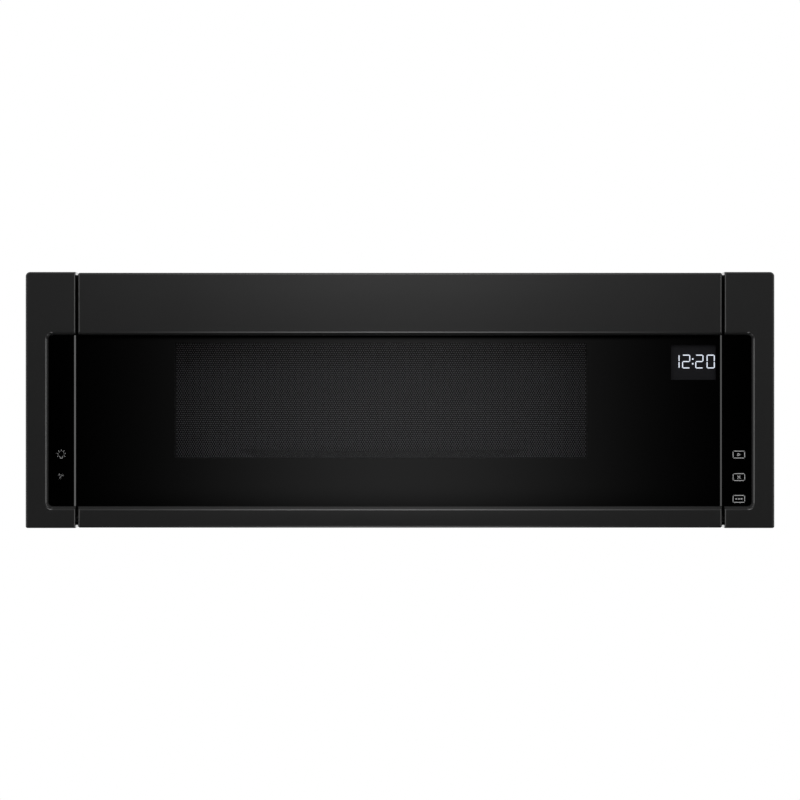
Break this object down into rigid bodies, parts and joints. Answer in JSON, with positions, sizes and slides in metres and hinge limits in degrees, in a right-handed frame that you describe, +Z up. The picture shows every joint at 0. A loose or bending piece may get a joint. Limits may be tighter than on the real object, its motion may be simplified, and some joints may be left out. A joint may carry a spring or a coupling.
{
  "type": "over the range microwave",
  "caption": "Low over the range microwave with a drop-down door, a full-width black glass front, touch keys on both columns, a turntable and a vent blower.",
  "frame": {"origin": "middle of the bottom of the whole object", "axes": "+Z up, front faces -Y, +X to the viewer's right"},
  "size_m": [0.76, 0.463, 0.26],
  "materials": {
    "front_paint": "satin near-black paint",
    "case_paint": "satin dark paint",
    "galvanised": "zinc-coated sheet",
    "oven_enamel": "light grey enamel",
    "pan_steel": "black enamel",
    "front_glass": "black printed glass",
    "clear_sheet": "clear sheet",
    "turntable_glass": "pressed clear glass",
    "black_plastic": "moulded black",
    "white_plastic": "moulded white",
    "grey_plastic": "moulded grey",
    "board_green": "circuit board",
    "screw_steel": "plated steel",
    "bright_steel": "pressed steel",
    "core_steel": "laminated core",
    "filter_aluminium": "expanded aluminium",
    "mica": "mica sheet",
    "lamp_glass": "frosted lens",
    "aluminium_can": "drawn can"
  },
  "bodies": {
    "cabinet": {"outer_case": "case_paint", "rear_panel": "galvanised", "base_plate": "case_paint", "component_tray": "galvanised", "wall_mounting_plate": "galvanised", "cabinet_screws": "screw_steel", "cabinet_bolt_nuts": "screw_steel", "cord_gland": "black_plastic", "right_column": "front_paint", "left_column": "front_paint", "right_column_glass": "front_glass", "left_column_glass": "front_glass", "touch_boards": "board_green", "oven_cavity": "oven_enamel", "waveguide_cover": "mica", "cavity_lamp": "white_plastic", "thermal_cutouts": "black_plastic", "hinge_brackets": "bright_steel", "hinge_dampers": "black_plastic", "latch_brackets": "white_plastic", "interlock_switches": "black_plastic", "release_solenoid": "grey_plastic", "turntable_motor": "bright_steel", "blower_housings": "black_plastic", "blower_motor": "core_steel", "cooling_fan_housing": "black_plastic", "cooling_fan_motor": "core_steel", "waveguide": "bright_steel", "magnetron": "bright_steel", "high_voltage_transformer": "core_steel", "high_voltage_capacitor": "aluminium_can", "noise_filter_board": "board_green", "control_board": "board_green", "cooktop_lamps": "white_plastic", "cooktop_lenses": "lamp_glass"},
    "door": {"door_frame": "front_paint", "door_glass": "front_glass", "door_choke_frame": "pan_steel", "door_screen": "pan_steel", "inner_window": "clear_sheet", "choke_cover": "black_plastic", "display_module": "black_plastic", "door_screws": "screw_steel", "hinge_leaves": "bright_steel", "hinge_pins": "screw_steel", "latch_holders": "black_plastic"},
    "latch_hook_right": {"latch_hook_right": "white_plastic"},
    "latch_hook_left": {"latch_hook_left": "white_plastic"},
    "release_shaft": {"release_shaft": "grey_plastic"},
    "solenoid_plunger": {"solenoid_plunger": "bright_steel"},
    "turntable_coupler": {"turntable_coupler": "white_plastic"},
    "turntable_plate": {"turntable_plate": "turntable_glass"},
    "roller_ring": {"roller_ring": "white_plastic"},
    "roller_1": {"roller_1": "grey_plastic"},
    "roller_2": {"roller_2": "grey_plastic"},
    "roller_3": {"roller_3": "grey_plastic"},
    "vent_blower_rotor": {"vent_blower_wheels": "black_plastic"},
    "cooling_fan_rotor": {"cooling_fan_wheel": "black_plastic"},
    "grease_filter_left": {"grease_filter_left": "filter_aluminium"},
    "grease_filter_right": {"grease_filter_right": "filter_aluminium"}
  },
  "joints": [
    {"name": "door_hinge", "type": "hinge", "parent": "cabinet", "child": "door", "pos_m": [0, -0.215, 0.01], "axis": [1, 0, 0], "range_deg": [0, 90]},
    {"name": "latch_hook_right_tilt", "type": "hinge", "parent": "door", "child": "latch_hook_right", "pos_m": [0.305, -0.206, 0.232], "axis": [-1, 0, 0], "range_deg": [0, 12]},
    {"name": "latch_hook_left_tilt", "type": "hinge", "parent": "door", "child": "latch_hook_left", "pos_m": [-0.305, -0.206, 0.232], "axis": [-1, 0, 0], "range_deg": [0, 12]},
    {"name": "release_turn", "type": "hinge", "parent": "cabinet", "child": "release_shaft", "pos_m": [0, -0.15, 0.245], "axis": [1, 0, 0], "range_deg": [0, 13], "stiffness_Nm_per_rad": 0.25, "springref_deg": -22.92},
    {"name": "plunger_slide", "type": "slide", "parent": "cabinet", "child": "solenoid_plunger", "axis": [0, 1, 0], "range_m": [0, 0.00509]},
    {"name": "turntable_spin", "type": "hinge", "parent": "cabinet", "child": "turntable_coupler", "pos_m": [-0.0193, -0.025, 0.05], "axis": [0, 0, 1], "continuous": true},
    {"name": "plate_lift", "type": "slide", "parent": "turntable_coupler", "child": "turntable_plate", "axis": [0, 0, 1], "range_m": [0, 0.015]},
    {"name": "roller_ring_spin", "type": "hinge", "parent": "cabinet", "child": "roller_ring", "pos_m": [-0.0193, -0.025, 0.05], "axis": [0, 0, 1], "continuous": true},
    {"name": "vent_blower_spin", "type": "hinge", "parent": "cabinet", "child": "vent_blower_rotor", "pos_m": [0, 0.185, 0.172], "axis": [1, 0, 0], "continuous": true},
    {"name": "cooling_fan_spin", "type": "hinge", "parent": "cabinet", "child": "cooling_fan_rotor", "pos_m": [0.3, 0.129, 0.172], "axis": [0, 1, 0], "continuous": true},
    {"name": "grease_filter_left_slide", "type": "slide", "parent": "cabinet", "child": "grease_filter_left", "axis": [0, 0, -1], "range_m": [0, 0.03]},
    {"name": "grease_filter_right_slide", "type": "slide", "parent": "cabinet", "child": "grease_filter_right", "axis": [0, 0, -1], "range_m": [0, 0.03]},
    {"name": "roller_1_spin", "type": "hinge", "parent": "roller_ring", "child": "roller_1", "pos_m": [-0.0193, -0.12, 0.0558], "axis": [0, -1, 0], "continuous": true},
    {"name": "roller_2_spin", "type": "hinge", "parent": "roller_ring", "child": "roller_2", "pos_m": [0.06297, 0.0225, 0.0558], "axis": [0.866, 0.5, 0], "continuous": true},
    {"name": "roller_3_spin", "type": "hinge", "parent": "roller_ring", "child": "roller_3", "pos_m": [-0.10157, 0.0225, 0.0558], "axis": [-0.866, 0.5, 0], "continuous": true}
  ],
  "couplings": [
    {"joint": "latch_hook_right_tilt", "follows": "release_turn", "ratio": 0.92308},
    {"joint": "latch_hook_left_tilt", "follows": "release_turn", "ratio": 0.92308},
    {"joint": "plunger_slide", "follows": "release_turn", "m_per_rad": 0.022},
    {"joint": "roller_ring_spin", "follows": "turntable_spin", "ratio": 0.5},
    {"joint": "roller_1_spin", "follows": "turntable_spin", "ratio": -5.5882},
    {"joint": "roller_2_spin", "follows": "turntable_spin", "ratio": -5.5882},
    {"joint": "roller_3_spin", "follows": "turntable_spin", "ratio": -5.5882}
  ]
}
